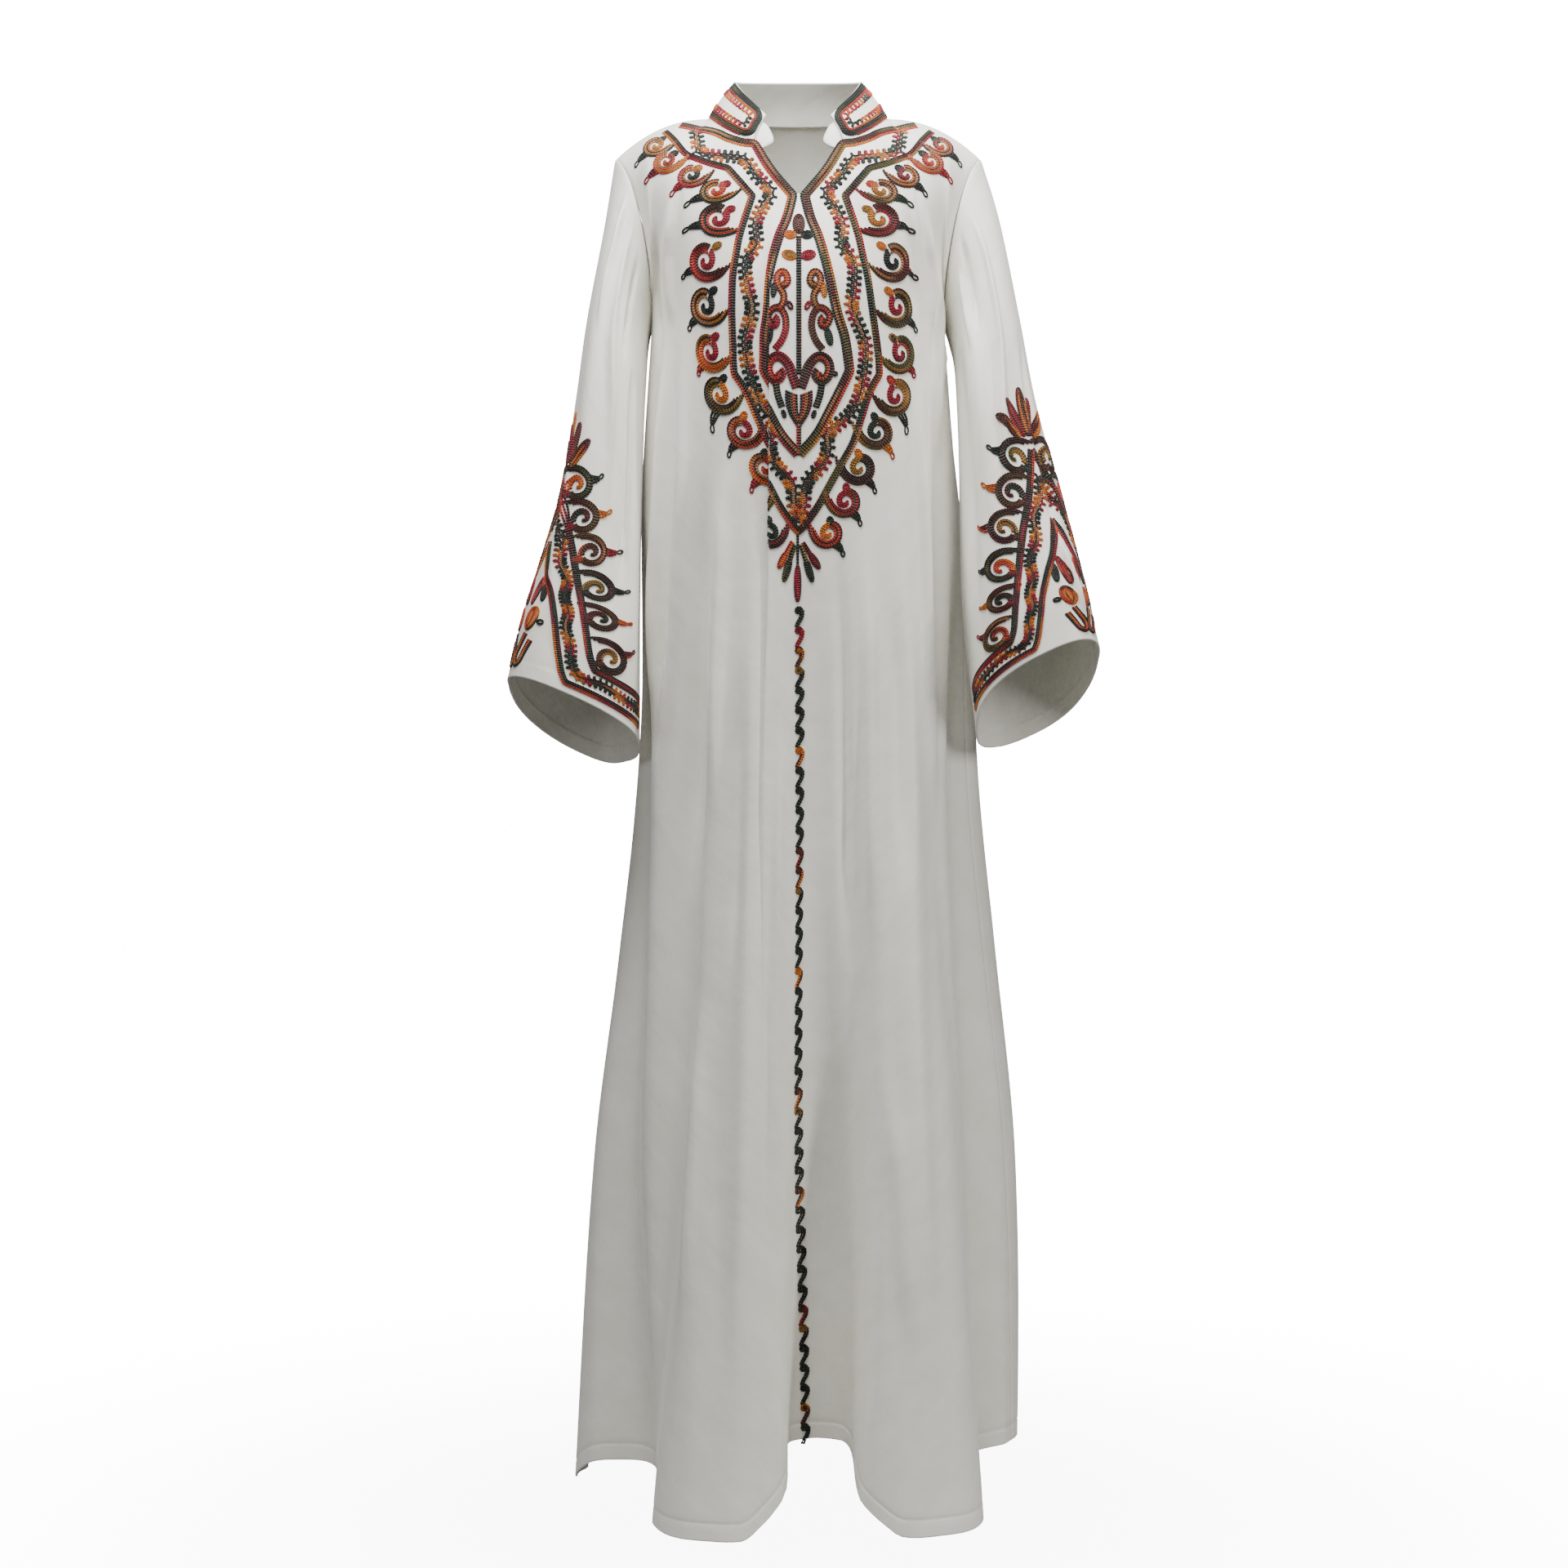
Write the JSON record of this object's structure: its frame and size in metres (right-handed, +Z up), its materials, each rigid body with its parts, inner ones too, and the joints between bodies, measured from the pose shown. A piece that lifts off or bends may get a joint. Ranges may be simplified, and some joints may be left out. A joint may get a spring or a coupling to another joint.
{
  "type": "abaya",
  "caption": "Long loose ankle-length robe with a stand collar, a notched neck, wide bell sleeves and a flared hem, in worn hollow form.",
  "frame": {"origin": "midway between the two neck points, where the wearer's shoulders hold the garment", "axes": "+Z up, the front faces -Y, +X to the wearer's left"},
  "size_m": [0.605, 0.4595, 1.4772],
  "materials": {
    "ivory_cloth": "smooth matt crepe with a slight sheen",
    "ivory_collar": "interfaced crepe",
    "chain_stitch": "thick variegated embroidery thread"
  },
  "bodies": {
    "root": {"front_panel": "ivory_cloth", "back_panel": "ivory_cloth", "sleeve_right": "ivory_cloth", "sleeve_left": "ivory_cloth", "collar": "ivory_collar", "facing_right": "ivory_cloth", "facing_left": "ivory_cloth"}
  },
  "joints": []
}
